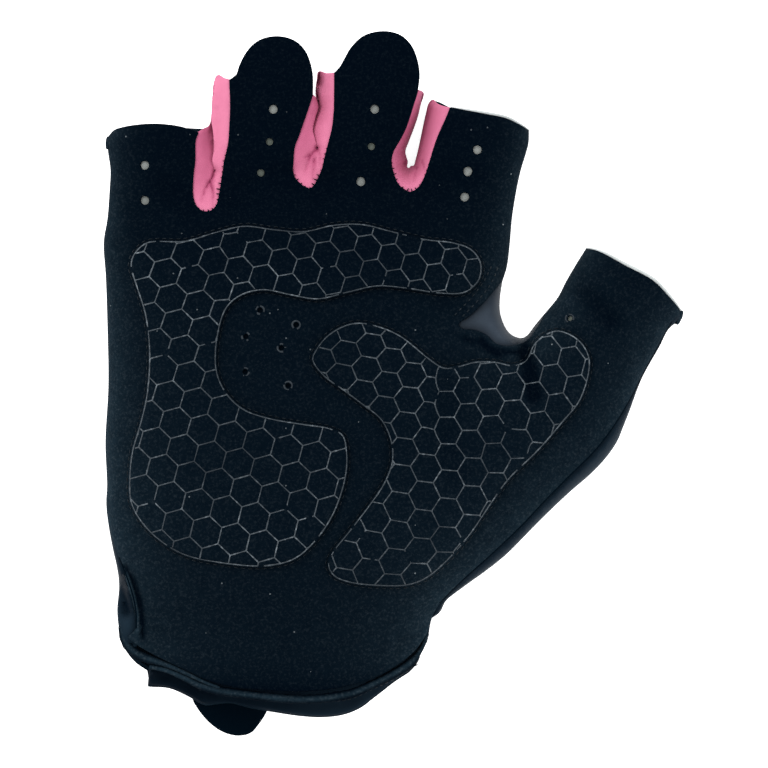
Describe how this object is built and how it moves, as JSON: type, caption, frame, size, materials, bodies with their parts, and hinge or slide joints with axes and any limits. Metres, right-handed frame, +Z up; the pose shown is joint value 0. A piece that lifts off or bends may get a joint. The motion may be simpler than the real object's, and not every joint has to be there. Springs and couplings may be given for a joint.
{
  "type": "weightlifting glove",
  "caption": "Fingerless padded training glove for the right hand, palm up, with pull tabs, pink finger walls and a wrist strap.",
  "frame": {"origin": "centre of the glove's box, on the surface that it lies on", "axes": "+Z up out of the palm, +Y from the cuff to the fingers, +X towards the thumb"},
  "size_m": [0.138, 0.1692, 0.0272],
  "materials": {
    "suede": "matte micro-suede, bluish black",
    "satin_lycra": "smooth stretch satin, black with a soft sheen",
    "pink_lycra": "soft brushed stretch cloth, pink",
    "web_satin": "grey-black satin",
    "grip_print": "suede with worn grey honeycomb print",
    "strap_cloth": "smooth black strap cloth"
  },
  "bodies": {
    "root": {"palm_panel": "suede", "back_panel": "satin_lycra", "finger_wall_little_ring": "pink_lycra", "finger_wall_ring_middle": "pink_lycra", "finger_wall_middle_index": "pink_lycra", "thumb_web": "web_satin", "palm_pad": "grip_print", "thumb_pad": "grip_print", "palm_hem": "suede", "cuff_band": "satin_lycra", "wrist_strap": "strap_cloth"}
  },
  "joints": []
}
